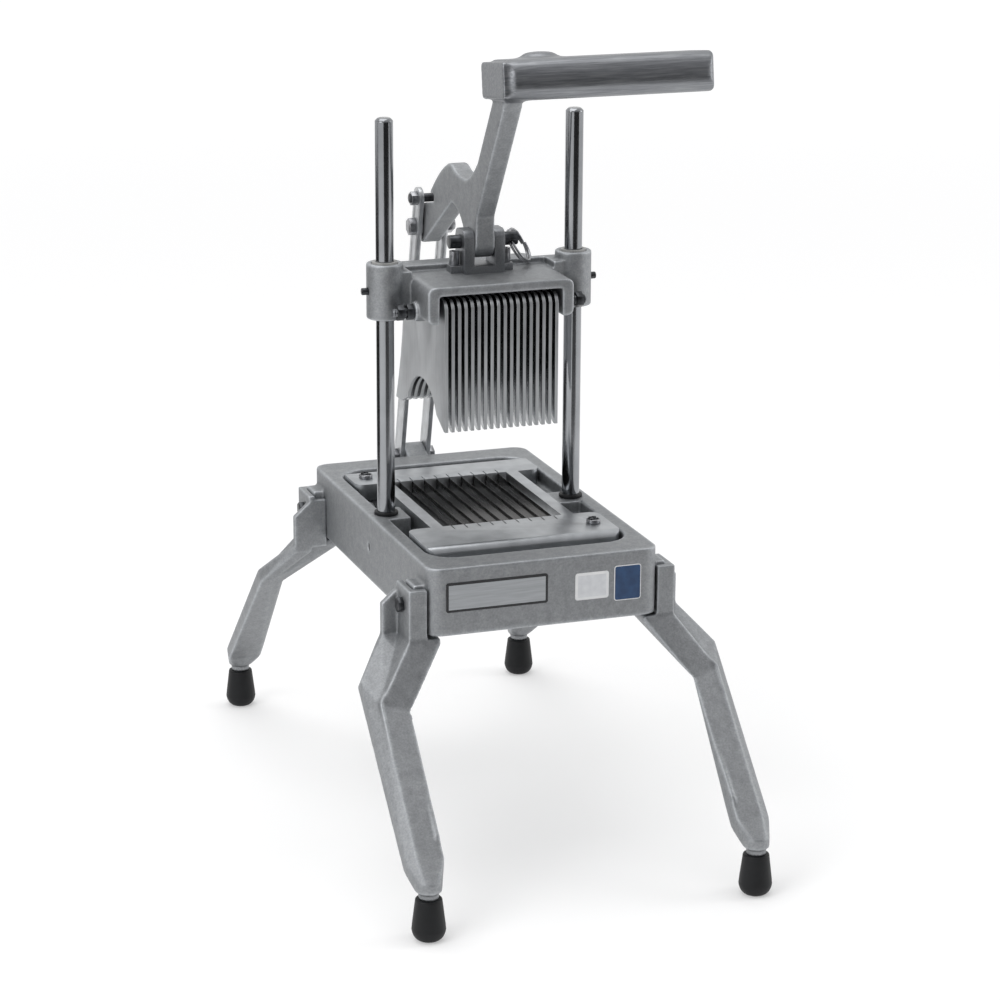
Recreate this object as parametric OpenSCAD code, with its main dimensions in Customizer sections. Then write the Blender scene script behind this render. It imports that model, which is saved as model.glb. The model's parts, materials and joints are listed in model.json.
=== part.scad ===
// Bench-top lever slicer for onions. A finned pusher slides down two upright rods
// and drives the onion through a frame of straight blades, worked by a bell-crank
// lever whose tail hangs on two link bars behind the base.
// The bench is z = 0, the rods stand in the plane y = 0 and the front faces -y.

/* [Slicing set] */
// Distance from blade to blade, the slice thickness
slice = 9.525; // [8:0.125:10.5]
// Number of blades
blade_n = 9; // [7:2:11]
// Blade thickness
blade_t = 0.6; // [0.4:0.1:1]
// Blade height
blade_h = 9; // [6:0.5:10]
// How far a blade runs into its slots at each end
blade_grip = 8; // [5:1:12]
// Drop of the blade's edge below the top of the frame
blade_drop = 1; // [0.5:0.5:2]
// Pusher fin thickness
fin_t = 2.4; // [1.8:0.1:3]
// Height of a fin from its top to its front tip
fin_h = 93.5; // [80:0.5:105]
// Reach of the fins in front of the rods
fin_front = 47.5; // [42:0.5:52]
// Reach of the fins behind the rods at their flared foot
fin_rear = 64.5; // [58:0.5:70]
// Radius of the arch cut into a fin's foot
fin_arch_r = 36; // [28:1:40]
// Diameter of the two rods through the fins
fin_rod_d = 6.35; // [5:0.05:8]
// Distance of those rods in front of and behind the guide rods
fin_rod_y = 22; // [20:1:28]

/* [Blade frame] */
// Thickness of the frame
frame_t = 12; // [10:0.5:14]
// Width of a side rail
rail_w = 9; // [6:0.5:11]
// Depth of the front bar
front_bar_d = 49; // [42:1:52]
// Depth of the rear bar
rear_bar_d = 36; // [30:1:40]
// Gap between the fins and the inside of the frame
throat_gap = 2.6; // [1.5:0.1:5]
// Radius of the bars' corners seen from above
bar_r = 7; // [4:1:14]
// Head diameter of the two hold-down screws
hold_head_d = 10; // [8:0.5:12]

/* [Base] */
// Depth of the base from front to rear
base_d = 277; // [262:1:300]
// Height of the base casting
base_h = 48; // [40:1:60]
// Height of the base's underside above the bench
base_z = 172.5; // [160:0.5:190]
// Distance from a rod's axis to the side of the base
rod_inset = 13.5; // [12:0.5:18]
// Thickness of the casting's walls
wall = 8; // [5:0.5:9]
// Radius of the upright corners
corner_r = 10; // [5:1:16]
// Width of the rim in front of and behind the pocket
rim_y = 24; // [18:1:26]
// Width of the rim beside the pocket
rim_x = 11; // [9.5:0.5:12]
// Radius of the pocket's corners
pocket_r = 20; // [12:1:26]
// Depth of the pocket that the blade frame lies in
pocket_depth = 10; // [7:0.5:12]
// Thickness of the shelf under the blade frame
shelf_t = 8; // [5:0.5:10]
// Depth of the gutters beside the blade frame
gutter_depth = 31; // [24:1:34]
// How far the shelf reaches under a bar of the frame
ledge = 20; // [14:1:26]
// Width of the square posts that hold the rods
post_d = 28; // [22:1:32]
// Drop of the posts' tops below the rim
post_drop = 0.5; // [0:0.5:4]

/* [Guide rods and carriage] */
// Diameter of a guide rod
rod_d = 12.7; // [10:0.1:16]
// Rod above the carriage when the carriage is up
rod_above = 101; // [60:1:140]
// Chamfer on the top of a rod
rod_chamfer = 1.8; // [0.5:0.1:3]
// Outside diameter of a rod's rubber bumper
bumper_d = 17; // [16.5:0.1:22]
// Height of a bumper
bumper_h = 2.5; // [2:0.5:6]
// Travel of the carriage
travel = 140; // [110:1:150]
// Outside diameter of a barrel
barrel_d = 26; // [23:0.5:32]
// Height of a barrel
barrel_h = 39.5; // [34:0.5:50]
// Outside diameter of the bushing in a barrel
bushing_d = 18; // [17:0.5:20]
// Gap between a barrel and the pusher's cheek
barrel_gap = 3.5; // [2:0.5:8]
// Thickness of a cheek
cheek_t = 8.5; // [6:0.5:10]
// Gap between the outer fins and the cheeks
fin_side_gap = 3.3; // [2:0.1:5]
// Half depth of the carriage from front to rear
cheek_y = 47; // [40:1:52]
// Height of the carriage's top face above the barrels' lower ends
plate_rise = 29.2; // [26:0.2:33]
// Thickness of the carriage's top plate
plate_t = 6.5; // [5:0.5:8]
// Height of the cheeks' lower edges above the barrels' lower ends
cheek_rise = 3; // [2.5:0.5:6]

/* [Lever and links] */
// Height of the lever's pivot above the carriage's top face
pivot_rise = 21.5; // [19:0.5:26]
// Diameter of the lever's pivot pin
pivot_d = 9.5; // [8:0.1:11]
// Width of the lever casting
lever_w = 14; // [12:0.5:18]
// Radius of the lever's two pivot eyes
eye_r = 12; // [10.5:0.5:13]
// Distance of the rear pivot behind the front pivot
tail_reach = 112; // [104:1:120]
// Drop of the rear pivot below the front pivot
tail_drop = 11; // [5:1:18]
// Depth of the arm seen from the side
arm_t = 20; // [16:0.5:24]
// Lean of the arm from the upright towards the front
arm_lean = 33; // [25:1:38]
// Length of the arm from the front pivot to the grip
arm_len = 139; // [120:1:160]
// Length of the grip
grip_len = 153; // [120:1:180]
// Depth of the grip from front to rear
grip_d = 50; // [40:1:58]
// Height of the grip
grip_h = 28; // [22:1:34]
// Rounding of the grip's section
grip_r = 11.5; // [6:0.5:13]
// Tilt of the grip, front edge up
grip_tilt = 8; // [0:1:15]
// Thickness of a link bar
link_t = 3.2; // [2.5:0.1:5]
// Width of a link bar
link_w = 15.4; // [13:0.2:18]
// Diameter of the bolts in the link bars
link_bolt_d = 8; // [6:0.5:9]
// Distance from the rear pivot up to the stop bolt
stop_rise = 22.5; // [22:0.5:30]
// Diameter of the stop bolt
stop_d = 6.4; // [5:0.2:7]
// Distance of the links' lower pivot behind the base
foot_pivot_y = 18.5; // [16:0.5:24]
// Drop of the links' lower pivot below the rim
foot_pivot_drop = 5; // [2:0.5:12]

/* [Clevis and pull ring] */
// Thickness of an ear of the clevis
ear_t = 7.4; // [5:0.2:10]
// Depth of an ear in front of the pivot
ear_front = 11; // [10:0.5:16]
// Depth of an ear behind the pivot
ear_back = 9.5; // [9:0.5:10]
// Height of an ear above the pivot
ear_top = 9; // [7.5:0.5:12]
// Thickness of the clevis's floor
clevis_floor = 5; // [4:0.5:6]
// Mean diameter of the pull ring
ring_d = 25.4; // [22:0.2:28]
// Wire diameter of the pull ring
ring_wire = 2.6; // [1.8:0.1:2.8]
// Slope of the hanging ring below the level
ring_slope = 45; // [35:1:48]
// Turn of the pin, which tips the ring to the rear
ring_turn = 40; // [30:1:45]

/* [Legs and feet] */
// Distance of a foot from the side of the base
foot_out_x = 33.5; // [28:0.5:45]
// Distance of a foot in front of or behind the base
foot_out_y = 99.5; // [80:0.5:120]
// Height of the outer side of the knee above the bench
knee_h = 142; // [130:0.5:152]
// Distance of the outer side of the knee inside the end of the base
knee_in = 10.5; // [4:0.5:16]
// Width of a leg below its knee
leg_w = 25.6; // [22:0.2:30]
// Depth of a leg's channel section
leg_depth = 13; // [11:0.5:16]
// Depth of the web in a leg's channel
leg_fill = 9.5; // [5:0.5:10]
// Thickness of a leg's walls
leg_t = 5.5; // [4:0.5:7]
// Width of the shin's outer edge
shin_out_t = 6.5; // [5:0.5:8]
// Width of the shin's inner edge
shin_in_t = 8.5; // [6:0.5:10]
// Distance of a leg's bracket from the end of the base
leg_inset = 18.5; // [16:0.5:30]
// Width of a leg's bracket
bracket_w = 30; // [28:0.5:36]
// Reach of a bracket's rib from the side of the base
rib_out = 24.5; // [21:0.5:28]
// Thickness of the base's pad inside a bracket
pad_t = 8; // [6:0.5:9]
// Diameter of a leg bolt
leg_bolt_d = 6; // [5:0.5:8]
// Diameter of a rubber foot at its widest
foot_d = 23; // [21:0.2:28]
// Height of a rubber foot
foot_h = 29; // [25:0.5:36]
// Diameter of the stud in a foot
stud_d = 10; // [8:0.5:11]

/* [Fits] */
// Radial clearance of a part that turns or slides on another
run_gap = 0.05; // [0.02:0.01:0.1]
// Side clearance between parts that move past each other
side_gap = 0.3; // [0.2:0.05:0.5]
// Clearance of a part seated in its hole
seat_gap = 0.04; // [0.02:0.01:0.1]

/* [Hidden] */
$fn = 16;
over = 1;

// Across the machine
fin_n = 2 * blade_n;
fin_pitch = slice / 2;
fin_span = (fin_n - 1) * fin_pitch + fin_t;
cheek_in = fin_span / 2 + fin_side_gap;
cheek_out = cheek_in + cheek_t;
rod_x = cheek_out + barrel_gap + barrel_d / 2;
base_x = rod_x + rod_inset;
base_y = base_d / 2;
pocket_x = base_x - rim_x;
pocket_y = base_y - rim_y;
throat_x = fin_span / 2 + throat_gap;
throat_front = fin_front + throat_gap;
throat_rear = fin_rear + throat_gap;
bar_front = throat_front + front_bar_d;
bar_rear = throat_rear + rear_bar_d;
bar_gap = 1.5;
bar_x = pocket_x - bar_gap;

// Up the machine
base_top = base_z + base_h;
shelf_top = base_top - pocket_depth;
shelf_low = shelf_top - shelf_t;
frame_top = shelf_top + frame_t;
post_top = base_top - post_drop;
bumper_top = post_top + bumper_h;
barrel_z = bumper_top + side_gap + travel;
barrel_top = barrel_z + barrel_h;
plate_top = barrel_z + plate_rise;
plate_low = plate_top - plate_t;
cheek_z = barrel_z + cheek_rise;
rod_top = barrel_top + rod_above;
fin_head_gap = 3;
fin_top = plate_low - fin_head_gap;
fin_rod_drop = 11.5;
fin_rod_z = fin_top - fin_rod_drop;
fin_rod_r = fin_rod_d / 2;
fin_rod_ys = [-fin_rod_y, fin_rod_y];

// Pivots of the linkage, each as [y, z]
front_pivot = [0, plate_top + pivot_rise];
rear_pivot = front_pivot + [tail_reach, -tail_drop];
foot_pivot = [base_y + foot_pivot_y, base_top - foot_pivot_drop];
link_len = norm(rear_pivot - foot_pivot);
link_dir = (rear_pivot - foot_pivot) / link_len;
link_lean = atan2(-link_dir[0], link_dir[1]);
stop_pivot = rear_pivot + stop_rise * link_dir;
washer_t = 1.2;
link_in = lever_w / 2 + washer_t + side_gap;
link_out = link_in + link_t;
link_bolt_r = link_bolt_d / 2;
pivot_r = pivot_d / 2;
ear_in = lever_w / 2 + 2 * side_gap;
ear_out = ear_in + ear_t;

// Legs: the foot and the two sides of the knee, each as [y, z]
foot_x = base_x + foot_out_x;
foot_y = base_y + foot_out_y;
leg_y = base_y - leg_inset;
knee_out = [base_y - knee_in, knee_h];
knee_under = knee_out + [16, -4.6];
knee_over = knee_out + [32.5, -11.8];
ankle = [foot_y - 10, foot_h + 19];
shin_angle = atan2(ankle[0] - knee_out[0], knee_out[1] - ankle[1]);
leg_bolt_z = base_z + 20;

function two(i) = str(i < 10 ? "0" : "", i);
sides = ["left", "right"];
ends = ["front", "rear"];
fin_names = [for (i = [1:fin_n]) str("fin_", two(i))];
leg_names = [for (e = ends, s = sides) str("leg_", e, "_", s)];
foot_names = [for (e = ends, s = sides) str("foot_", e, "_", s)];

// A point on a three-point curve, and the whole curve in n steps
function bend(a, b, c, t) = (1 - t) * (1 - t) * a + 2 * t * (1 - t) * b + t * t * c;
function curve(a, b, c, n) = [for (i = [0:n]) bend(a, b, c, i / n)];

// A rectangle with round corners, centred
module round_rect(w, d, r) {
    square([w - 2 * r, d], center = true);
    square([w, d - 2 * r], center = true);
    for (x = [-1, 1], y = [-1, 1]) translate([x * (w / 2 - r), y * (d / 2 - r)]) circle(r);
}

// A round bar along x from x0 to x1, at [y, z]
module bar_x_at(r, x0, x1, p, sides_n = $fn) {
    translate([x0, p[0], p[1]]) rotate([0, 90, 0]) cylinder(r = r, h = x1 - x0, $fn = sides_n);
}

// An outline drawn in [y, z], made solid from x0 to x1
module slab_x(x0, x1) {
    translate([x0, 0, 0]) rotate([90, 0, 90]) linear_extrude(x1 - x0) children();
}

// A block between two corners
module block(a, b) {
    translate(a) cube(b - a);
}

// The four quarters of the base, built once in the rear right one
module quarter(end, side) {
    mirror([side == "left" ? 1 : 0, 0, 0]) mirror([0, end == "front" ? 1 : 0, 0]) children();
}

function flip(side) = side == "left" ? -1 : 1;

// Base casting: a rimmed box, open below, with a pocket for the blade frame,
// two rod posts, four leg pads and the eye that the link bars stand on
pad_w = bracket_w - 2 * leg_t - 2 * side_gap;
pad_top = base_z + 35;
eye_w = 2 * (link_in - side_gap);
foot_eye_r = 10;
set_screw_r = 3;
set_screw_z = base_z + 24;
hold_x = bar_x - 12;
hold_r = 2.5;
hold_spots = [[-hold_x, throat_rear + rear_bar_d / 2], [hold_x, -throat_front - front_bar_d / 2]];

module leg_pads() {
    for (e = ends, s = sides) quarter(e, s)
        block([base_x - over, leg_y - pad_w / 2, base_z + 2],
              [base_x + pad_t, leg_y + pad_w / 2, pad_top]);
}

module link_eye() {
    slab_x(-eye_w / 2, eye_w / 2) {
        translate(foot_pivot) circle(foot_eye_r);
        polygon([[base_y - over, base_z + 8], foot_pivot + foot_eye_r * [0.71, -0.71], foot_pivot,
                 foot_pivot + foot_eye_r * [-0.4, 0.91], [base_y - over, base_top - 3]]);
    }
}

// Gutter beside the blade frame: a low floor, and a rib that the side rail rests on
gutter_z = base_top - gutter_depth;
gutter_t = 5;
gutter_y0 = ledge - bar_front;
gutter_y1 = bar_rear - ledge;
rib_x0 = throat_x + 2;
rib_x1 = throat_x + rail_w;

module gutter() {
    block([rib_x0, gutter_y0 - over, gutter_z - gutter_t],
          [base_x - wall + over, gutter_y1 + over, gutter_z]);
    block([rib_x0, gutter_y0 - over, gutter_z - gutter_t], [rib_x1, gutter_y1 + over, shelf_top]);
}

// Square post that holds a rod, flush with the rim
module rod_post() {
    block([rod_x - post_d / 2, -post_d / 2, base_z + wall], [base_x - over, post_d / 2, post_top]);
}

module base_frame() {
    color("#a3a6a8") difference() {
        union() {
            difference() {
                translate([0, 0, base_z]) linear_extrude(base_h) round_rect(2 * base_x, base_d, corner_r);
                translate([0, 0, shelf_top])
                    linear_extrude(pocket_depth + over) round_rect(2 * pocket_x, 2 * pocket_y, pocket_r);
                translate([0, 0, base_z - over]) linear_extrude(base_h - pocket_depth - shelf_t + over)
                    round_rect(2 * (base_x - wall), base_d - 2 * wall, corner_r - wall / 2);
                block([-pocket_x + wall, gutter_y0, base_z], [pocket_x - wall, gutter_y1, base_top]);
            }
            for (s = sides) quarter("rear", s) {
                gutter();
                rod_post();
            }
            leg_pads();
            link_eye();
        }
        for (s = sides) {
            translate([flip(s) * rod_x, 0, base_z + 2 * wall])
                cylinder(r = rod_d / 2 + seat_gap, h = base_h);
            translate([flip(s) * rod_x, 0, post_top]) cylinder(d = bumper_d + over, h = base_h);
            quarter("rear", s)
                bar_x_at(set_screw_r + seat_gap, rod_x, base_x + over, [0, set_screw_z]);
        }
        for (e = ends, s = sides) quarter(e, s)
            bar_x_at(leg_bolt_d / 2 + seat_gap, base_x - wall + 1, base_x + pad_t + over,
                     [leg_y, leg_bolt_z]);
        for (p = hold_spots) translate([p[0], p[1], shelf_low - over])
            cylinder(r = hold_r + seat_gap, h = base_h);
        bar_x_at(link_bolt_r + seat_gap, -eye_w, eye_w, foot_pivot);
    }
}

// Cast leg: a bracket round the base's pad, with one tall rib, runs down to a
// skewed knee and on as an open channel to a tapered toe over the rubber foot
leg_web_x = base_x + pad_t + side_gap;
leg_web_t = 4.8;
leg_face = leg_web_x + leg_web_t;
leg_top = base_z + 33;
rib_top = base_z + 30;
tongue = 9.5;
tongue_t = 4.5;
tongue_gap = 2;
inlay = 0.25;
rib_y0 = leg_y - bracket_w / 2;
rib_y1 = rib_y0 + leg_t;
out_x1 = foot_x + leg_w / 2;
out_x0 = out_x1 - shin_out_t;
in_x0 = foot_x - leg_w / 2;
in_x1 = in_x0 + shin_in_t;
stud_reach = foot_h - 9;
collar_d = stud_d + 3.8;

// A slice across the shin's section at [y, z], from depth t0 to t1
module shin_slab(p, x0, x1, t0, t1) {
    translate([0, p[0], p[1]]) rotate([shin_angle, 0, 0]) block([x0, t0, -1.5], [x1, t1, 1.5]);
}

module side_wall(p, x0, x1) {
    shin_slab(p, x0, x1, -leg_depth / 2, leg_depth / 2);
}

// The inner side of the knee, folded between its under and its upper edge
module knee_edge(p, trim = 0) {
    shin_slab(p, in_x0 + trim, in_x1 - trim, trim - 1.5, 1.5 - trim);
}

module web_slab(p, x0, x1) {
    shin_slab(p, x0, x1, inlay - leg_depth / 2, leg_fill - leg_depth / 2);
}

module bracket() {
    translate([0, rib_y1, 0]) rotate([90, 0, 0]) linear_extrude(leg_t)
        polygon([[base_x + 0.1, base_z - 6], [base_x + rib_out, base_z - 6],
                 [base_x + rib_out, rib_top - 11.5], [base_x + rib_out - 13, rib_top],
                 [base_x + 0.1, rib_top]]);
    block([base_x + 0.1, leg_y + bracket_w / 2 - leg_t, base_z - 5],
          [leg_face, leg_y + bracket_w / 2, leg_top]);
    block([leg_web_x, rib_y0 + 1, base_z - 5], [leg_face, leg_y + bracket_w / 2 - 1, leg_top]);
}

module thigh() {
    hull() {
        block([leg_face - 2, rib_y0 + inlay, base_z - 9],
              [base_x + rib_out - inlay, rib_y1 - inlay, base_z - 3]);
        side_wall(knee_out, out_x0, out_x1);
    }
    hull() {
        block([base_x - tongue, leg_y + bracket_w / 2 - leg_t + inlay, base_z - tongue_gap - tongue_t],
              [leg_face - inlay, leg_y + bracket_w / 2 - inlay, base_z - tongue_gap]);
        knee_edge(knee_under);
        knee_edge(knee_over);
    }
    hull() {
        block([base_x - tongue + inlay, rib_y0 + 2, base_z - tongue_gap - tongue_t + inlay],
              [leg_face - 2 * inlay, leg_y + bracket_w / 2 - 2, base_z - tongue_gap - inlay]);
        web_slab(knee_out, out_x0, out_x1 - inlay);
        knee_edge(knee_under, inlay);
    }
}

module shin() {
    hull() {
        side_wall(knee_out, out_x0, out_x1);
        side_wall(ankle, out_x0, out_x1);
    }
    hull() {
        knee_edge(knee_under);
        knee_edge(knee_over);
        side_wall(ankle, in_x0, in_x1);
    }
    hull() {
        web_slab(knee_out, out_x0, out_x1 - inlay);
        knee_edge(knee_under, inlay);
        web_slab(ankle, in_x0 + inlay, out_x1 - inlay);
    }
}

module toe() {
    hull() {
        side_wall(ankle, in_x0 + inlay, out_x1 - inlay);
        translate([foot_x, foot_y, foot_h + 5]) cylinder(d = collar_d + 4, h = 7);
    }
    translate([foot_x, foot_y, foot_h]) cylinder(d = collar_d, h = 9);
    translate([foot_x, foot_y, foot_h - stud_reach]) cylinder(d = stud_d, h = stud_reach + over);
}

module leg() {
    color("#a9acae") difference() {
        union() {
            bracket();
            thigh();
            shin();
            toe();
        }
        bar_x_at(leg_bolt_d / 2 + seat_gap, leg_web_x - over, leg_face + over, [leg_y, leg_bolt_z]);
    }
}

// Rubber foot: a tapered tip with a rounded sole, pushed onto the leg's stud
module foot() {
    neck = 0.79 * foot_d / 2;
    sole = 0.57 * foot_d / 2;
    color("#232426") translate([foot_x, foot_y, 0]) difference() {
        rotate_extrude() polygon(concat(
            [[0, 0]],
            curve([sole, 0], [0.93 * foot_d / 2, 1.6], [foot_d / 2, 7.5], 4),
            [[neck, foot_h - 1], [neck - 1, foot_h], [0, foot_h]]));
        translate([0, 0, foot_h - stud_reach - 0.5]) cylinder(r = stud_d / 2 + seat_gap, h = foot_h);
    }
}

// Four hex bolts that hold the legs to the base's pads
module leg_bolts() {
    head = leg_face;
    color("#3b3d40") for (e = ends, s = sides) quarter(e, s) {
        bar_x_at(leg_bolt_d / 2, base_x - wall + 2, head + 0.5, [leg_y, leg_bolt_z]);
        bar_x_at(leg_bolt_d * 0.9, head, head + 4, [leg_y, leg_bolt_z], 6);
    }
}

// Ground steel rods, each with a chamfered top and a rubber bumper round its foot
module guide_rod() {
    r = rod_d / 2;
    color("#8f9295") translate([rod_x, 0, 0]) rotate_extrude()
        polygon([[0, base_z + 2 * wall + 0.2], [r, base_z + 2 * wall + 0.2], [r, rod_top - rod_chamfer],
                 [r - rod_chamfer, rod_top], [0, rod_top]]);
}

module bumper() {
    color("#1c1d1f") translate([rod_x, 0, post_top]) difference() {
        cylinder(d = bumper_d, h = bumper_h);
        translate([0, 0, -over]) cylinder(r = rod_d / 2 + seat_gap, h = bumper_h + 2 * over);
    }
}

// Grub screws in the sides of the base that lock the rods
module rod_set_screws() {
    color("#2d2f31") for (s = sides) quarter("rear", s)
        bar_x_at(set_screw_r, rod_x + rod_d / 2 + 0.2, base_x - 1, [0, set_screw_z]);
}

// Blade frame: two broad bars joined by side rails, slotted for the blades
blade_x = [for (i = [0:blade_n - 1]) (i - (blade_n - 1) / 2) * slice];
blade_top = frame_top - blade_drop;
slot_gap = 0.15;
slot_w = blade_t + 2 * slot_gap;
nose_r = frame_t / 2;

// A bar from its outer edge y0, which is round on top, to its inner edge y1
module frame_bar(y0, y1) {
    nose = y0 + nose_r * sign(y1 - y0);
    intersection() {
        slab_x(-bar_x, bar_x) {
            translate([nose, frame_top - nose_r]) circle(nose_r);
            polygon([[y0, shelf_top], [y1, shelf_top], [y1, frame_top], [nose, frame_top],
                     [y0, frame_top - nose_r]]);
        }
        translate([0, (y0 + y1) / 2, shelf_top - over]) linear_extrude(frame_t + 2 * over)
            round_rect(2 * bar_x, abs(y1 - y0), bar_r);
    }
}

module blade_frame() {
    color("#c3c6c8") difference() {
        union() {
            frame_bar(-bar_front, -throat_front);
            frame_bar(bar_rear, throat_rear);
            for (s = sides) quarter("rear", s)
                block([throat_x, -throat_front - bar_r, shelf_top],
                      [throat_x + rail_w, throat_rear + bar_r, frame_top]);
        }
        for (x = blade_x) {
            block([x - slot_w / 2, -throat_front - blade_grip - slot_gap, blade_top - blade_h - slot_gap],
                  [x + slot_w / 2, throat_rear + blade_grip + slot_gap, frame_top + over]);
        }
        for (p = hold_spots) translate([p[0], p[1], shelf_top - over])
            cylinder(r = hold_r + seat_gap, h = frame_t + 2 * over);
    }
}

// Straight blades on edge, seated in the frame's slots
module blades() {
    color("#6f7274") for (x = blade_x) {
        block([x - blade_t / 2, -throat_front - blade_grip, blade_top - blade_h],
              [x + blade_t / 2, throat_rear + blade_grip, blade_top]);
    }
}

// Two pan-head screws that hold the blade frame on its shelf
module hold_down_screws() {
    color("#8d9093") for (p = hold_spots) translate([p[0], p[1], frame_top]) {
        translate([0, 0, -frame_t - shelf_t + 1]) cylinder(r = hold_r, h = frame_t + shelf_t);
        difference() {
            cylinder(d = hold_head_d, h = 2.6);
            translate([-hold_head_d, -0.8, 1.4]) cube([2 * hold_head_d, 1.6, 2]);
        }
    }
}

// Carriage casting: a channel over the fins with a barrel on each side
neck_y = 9;
rib_back = 10;
rib_y = 6;
rib_h = 4.2;
cheek_r = 5;
boss_r = 7;
boss_t = 3;
bushing_screw_r = 2.5;
bushing_screw_z = barrel_z + barrel_h / 2;
clevis_bolt_r = 2.5;
clevis_bolt_x = ear_out + 4;

module channel_outline() {
    difference() {
        translate([0, (plate_top + cheek_z) / 2])
            round_rect(2 * cheek_out, plate_top - cheek_z, cheek_r);
        translate([-cheek_in, cheek_z - over]) square([2 * cheek_in, plate_low - cheek_z + over]);
    }
}

module carriage() {
    color("#9fa2a5") difference() {
        union() {
            translate([0, cheek_y, 0]) rotate([90, 0, 0]) linear_extrude(2 * cheek_y) channel_outline();
            block([-rod_x + barrel_d / 4, rib_back, plate_top - plate_t],
                  [rod_x - barrel_d / 4, rib_back + rib_y, plate_top + rib_h]);
            for (s = sides) quarter("rear", s) {
                translate([rod_x, 0, barrel_z]) cylinder(d = barrel_d, h = barrel_h);
                block([cheek_out - over, -neck_y, cheek_z],
                      [rod_x, rib_back + rib_y / 2, plate_top + rib_h]);
                for (y = fin_rod_ys)
                    bar_x_at(boss_r, cheek_in + 1, cheek_out + boss_t, [y, fin_rod_z]);
            }
        }
        for (s = sides) quarter("rear", s) {
            translate([rod_x, 0, barrel_z - over])
                cylinder(r = bushing_d / 2 + seat_gap, h = barrel_h + 2 * over);
            bar_x_at(bushing_screw_r + seat_gap, rod_x, rod_x + barrel_d, [0, bushing_screw_z]);
            for (y = fin_rod_ys)
                bar_x_at(fin_rod_r + seat_gap, cheek_in - over, cheek_out + boss_t + over, [y, fin_rod_z]);
            translate([clevis_bolt_x, 0, plate_low - over])
                cylinder(r = clevis_bolt_r + seat_gap, h = plate_t + 2 * over);
        }
    }
}

// Bushing pressed into a barrel, running on the guide rod
module bushing() {
    color("#d6d4cc") translate([rod_x, 0, barrel_z]) difference() {
        cylinder(d = bushing_d, h = barrel_h + 0.8);
        translate([0, 0, -over]) cylinder(r = rod_d / 2 + run_gap, h = barrel_h + 4 * over);
    }
}

module bushing_screws() {
    tip = rod_x + bushing_d / 2 + 0.3;
    color("#1f2022") for (s = sides) quarter("rear", s)
        bar_x_at(bushing_screw_r, tip, rod_x + barrel_d / 2 + 4, [0, bushing_screw_z]);
}

// Pusher fin: a thin plate with a round arch and a flared rear toe
fin_corner = 8;
fin_back = cheek_y;
arch_y = 4;
arch_drop = 8.5;
toe_z = fin_top - fin_h - 1;
tip_z = fin_top - fin_h;

module fin_outline() {
    difference() {
        union() {
            polygon(concat(
                [[-fin_front, fin_top - fin_corner], [-fin_front, tip_z], [-fin_front + 3, tip_z],
                 [arch_y - 0.83 * fin_arch_r, tip_z + 0.26 * fin_arch_r],
                 [arch_y + 0.9 * fin_arch_r, toe_z + 0.18 * fin_arch_r], [fin_rear - 12, toe_z]],
                curve([fin_rear, toe_z], [fin_back + 3, fin_top - 0.62 * fin_h],
                      [fin_back, fin_top - 0.3 * fin_h], 4),
                [[fin_back, fin_top - fin_corner], [fin_back - fin_corner, fin_top],
                 [fin_corner - fin_front, fin_top]]));
            translate([fin_corner - fin_front, fin_top - fin_corner]) circle(fin_corner);
            translate([fin_back - fin_corner, fin_top - fin_corner]) circle(fin_corner);
        }
        translate([arch_y, tip_z - arch_drop]) circle(fin_arch_r, $fn = 20);
        for (y = fin_rod_ys) translate([y, fin_rod_z]) circle(fin_rod_r + seat_gap);
    }
}

module fin(i) {
    x = (i - (fin_n + 1) / 2) * fin_pitch;
    color("#b4b7b9") slab_x(x - fin_t / 2, x + fin_t / 2) fin_outline();
}

// Threaded rods through the cheeks and fins, their spacers and lock nuts
nut_t = 5;
nut_r = 5.8;
rod_over = 3;
nut_seat = cheek_out + boss_t;
fin_rod_x = nut_seat + 2 * nut_t + 2 + rod_over;

module fin_rod(y) {
    color("#77797c") bar_x_at(fin_rod_r, -fin_rod_x, fin_rod_x, [y, fin_rod_z]);
}

module spacer(x0, x1, y) {
    difference() {
        bar_x_at(fin_rod_r + 2.6, x0, x1, [y, fin_rod_z], 6);
        bar_x_at((fin_rod_r + seat_gap) / cos(22.5), x0 - over, x1 + over, [y, fin_rod_z], 8);
    }
}

module fin_spacers() {
    color("#55585b") for (y = fin_rod_ys) {
        for (i = [1:fin_n - 1]) {
            x = (i - (fin_n + 1) / 2) * fin_pitch;
            spacer(x + fin_t / 2, x + fin_pitch - fin_t / 2, y);
        }
        spacer(fin_span / 2, cheek_in, y);
        spacer(-cheek_in, -fin_span / 2, y);
    }
}

module fin_rod_nuts() {
    color("#26282a") for (s = [0, 1], y = fin_rod_ys, n = [0, 1]) mirror([s, 0, 0]) {
        x = nut_seat + n * (nut_t + 2);
        difference() {
            bar_x_at(nut_r, x, x + nut_t, [y, fin_rod_z], 6);
            bar_x_at(fin_rod_r + seat_gap, x - over, x + nut_t + over, [y, fin_rod_z]);
        }
    }
}

// Clevis: a U bracket screwed to the carriage, with the lever's quick-release pin
ear_r = 6;
lug_w = 8;
lug_y = 5;

module ear_outline() {
    low = plate_top;
    high = front_pivot[1] + ear_top;
    polygon([[-ear_front, low], [ear_back, low], [ear_back, high - ear_r], [ear_back - ear_r, high],
             [ear_r - ear_front, high], [-ear_front, high - ear_r]]);
    translate([ear_back - ear_r, high - ear_r]) circle(ear_r);
    translate([ear_r - ear_front, high - ear_r]) circle(ear_r);
}

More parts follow.
